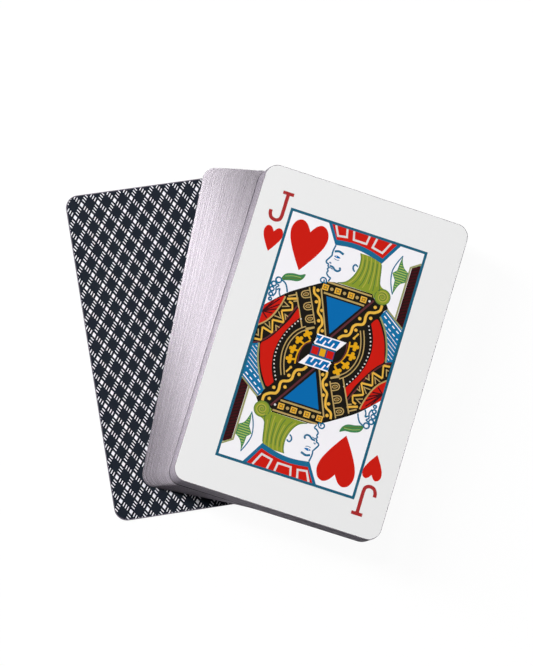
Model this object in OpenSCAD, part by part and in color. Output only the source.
// Deck of playing cards, bridge size: one card lies face down on the table, and the
// other cards lie face up on it as a packet that is turned and fanned a little.
// Origin: middle of the bottom card's underside, long side along Y, +Z up. Millimetres.

/* [Card] */
// Width of a card
card_w = 57.2; // [50:0.1:70]
// Length of a card
card_l = 88.9; // [80:0.1:125]
// Thickness of a card
card_t = 0.3; // [0.2:0.01:0.5]
// Radius of a card's four corners
corner_r = 3.5; // [2:0.1:8]
// Air between two cards that lie on each other
card_gap = 0.02; // [0.01:0.01:0.1]

/* [Packet on the bottom card] */
// Degrees by which the packet's lowest card is turned over the bottom card
packet_turn = 20.7; // [0:0.1:30]
// Point that the packet turns about, to the right of the bottom card's middle
packet_pivot_right = 0.2; // [-20:0.1:20]
// The same point, below the bottom card's near edge
packet_pivot_below = 17.2; // [5:0.1:40]

/* [Fan of the packet] */
// Degrees that the fanned cards sweep
fan_turn = 5.5; // [0:0.1:12]
// Degrees across the cards that are still nearly square under the top card
square_turn = 0.3; // [0:0.1:2]
// Number of cards that are still nearly square under the top card
square_cards = 32; // [4:1:44]
// Degrees by which single cards lie unevenly in the packet
uneven_turn = 0.06; // [0:0.01:0.2]
// Point that the fan sweeps about, to the left of the bottom card's middle
fan_pivot_left = 25.8; // [0:0.1:60]
// The same point, below the bottom card's near edge
fan_pivot_below = 54.6; // [20:0.1:120]

/* [Order of the cards] */
// Card that lies on top, face up
top_card = "jack_of_hearts"; // [jack_of_hearts, ten_of_hearts, five_of_clubs]
// Cards counted off a new deck from one card of the pile to the next one down
deal_step = 17; // [5, 7, 11, 13, 17, 19, 23, 25]

/* [Hidden] */
$fn = 64;

// Golden angle: it spreads the uneven cards without a pattern that repeats
uneven_step = 137.5;

suits = ["spades", "hearts", "diamonds", "clubs"];
ranks = ["ace", "two", "three", "four", "five", "six", "seven", "eight", "nine", "ten",
    "jack", "queen", "king"];
jokers = ["red_joker", "black_joker"];

// A new deck as it comes from the press, suit after suit with the jokers last
new_deck = concat([for (suit = suits) for (rank = ranks) str(rank, "_of_", suit)], jokers);
deck_size = len(new_deck);
top_place = search([top_card], new_deck)[0];

// The pile from the bottom card up: the counting off starts at the top card

pitch = card_t + card_gap;
fanned_cards = deck_size - 1 - square_cards;
packet_pivot = [packet_pivot_right, -card_l / 2 - packet_pivot_below];
fan_pivot = [-fan_pivot_left, -card_l / 2 - fan_pivot_below];

// Degrees that a card is swept from the packet's lowest card, by its place in the pile.
// The top card lies exactly on the one under it.
function evened(place) = min(place, deck_size - 2) - 1;
function swept(place) =
    evened(place) <= 0 ? 0
    : min(evened(place), fanned_cards) * fan_turn / fanned_cards
    + max(evened(place) - fanned_cards, 0) * square_turn / square_cards
    + uneven_turn * sin(evened(place) * uneven_step);

// Turns its children about a point on the table
module turned(pivot, degrees) {
    translate(pivot) rotate(degrees) translate(-pivot) children();
}

// Outline of one card, with round corners
module card_outline() {
    inner_w = card_w - 2 * corner_r;
    inner_l = card_l - 2 * corner_r;
    square([card_w, inner_l], center = true);
    square([inner_w, card_l], center = true);
    for (side = [-1, 1]) for (end = [-1, 1])
        translate([side * inner_w / 2, end * inner_l / 2]) circle(corner_r);
}

// One card of moulded white plastic where it lies in the pile, counted from the bottom
module card(place) {
    translate([0, 0, place * pitch])
        turned(fan_pivot, place == 0 ? 0 : -swept(place))
        turned(packet_pivot, place == 0 ? 0 : -packet_turn)
        linear_extrude(card_t) card_outline();
}

// The bottom card shows its dark printed back
module face_down_card() {
    color("#2a2d36") card(0);
}

// A card of the packet shows its white face
module face_up_card(place) {
    color("#e8e8e8") card(place);
}

face_down_card();
for (place = [1:deck_size - 1])
    face_up_card(place);
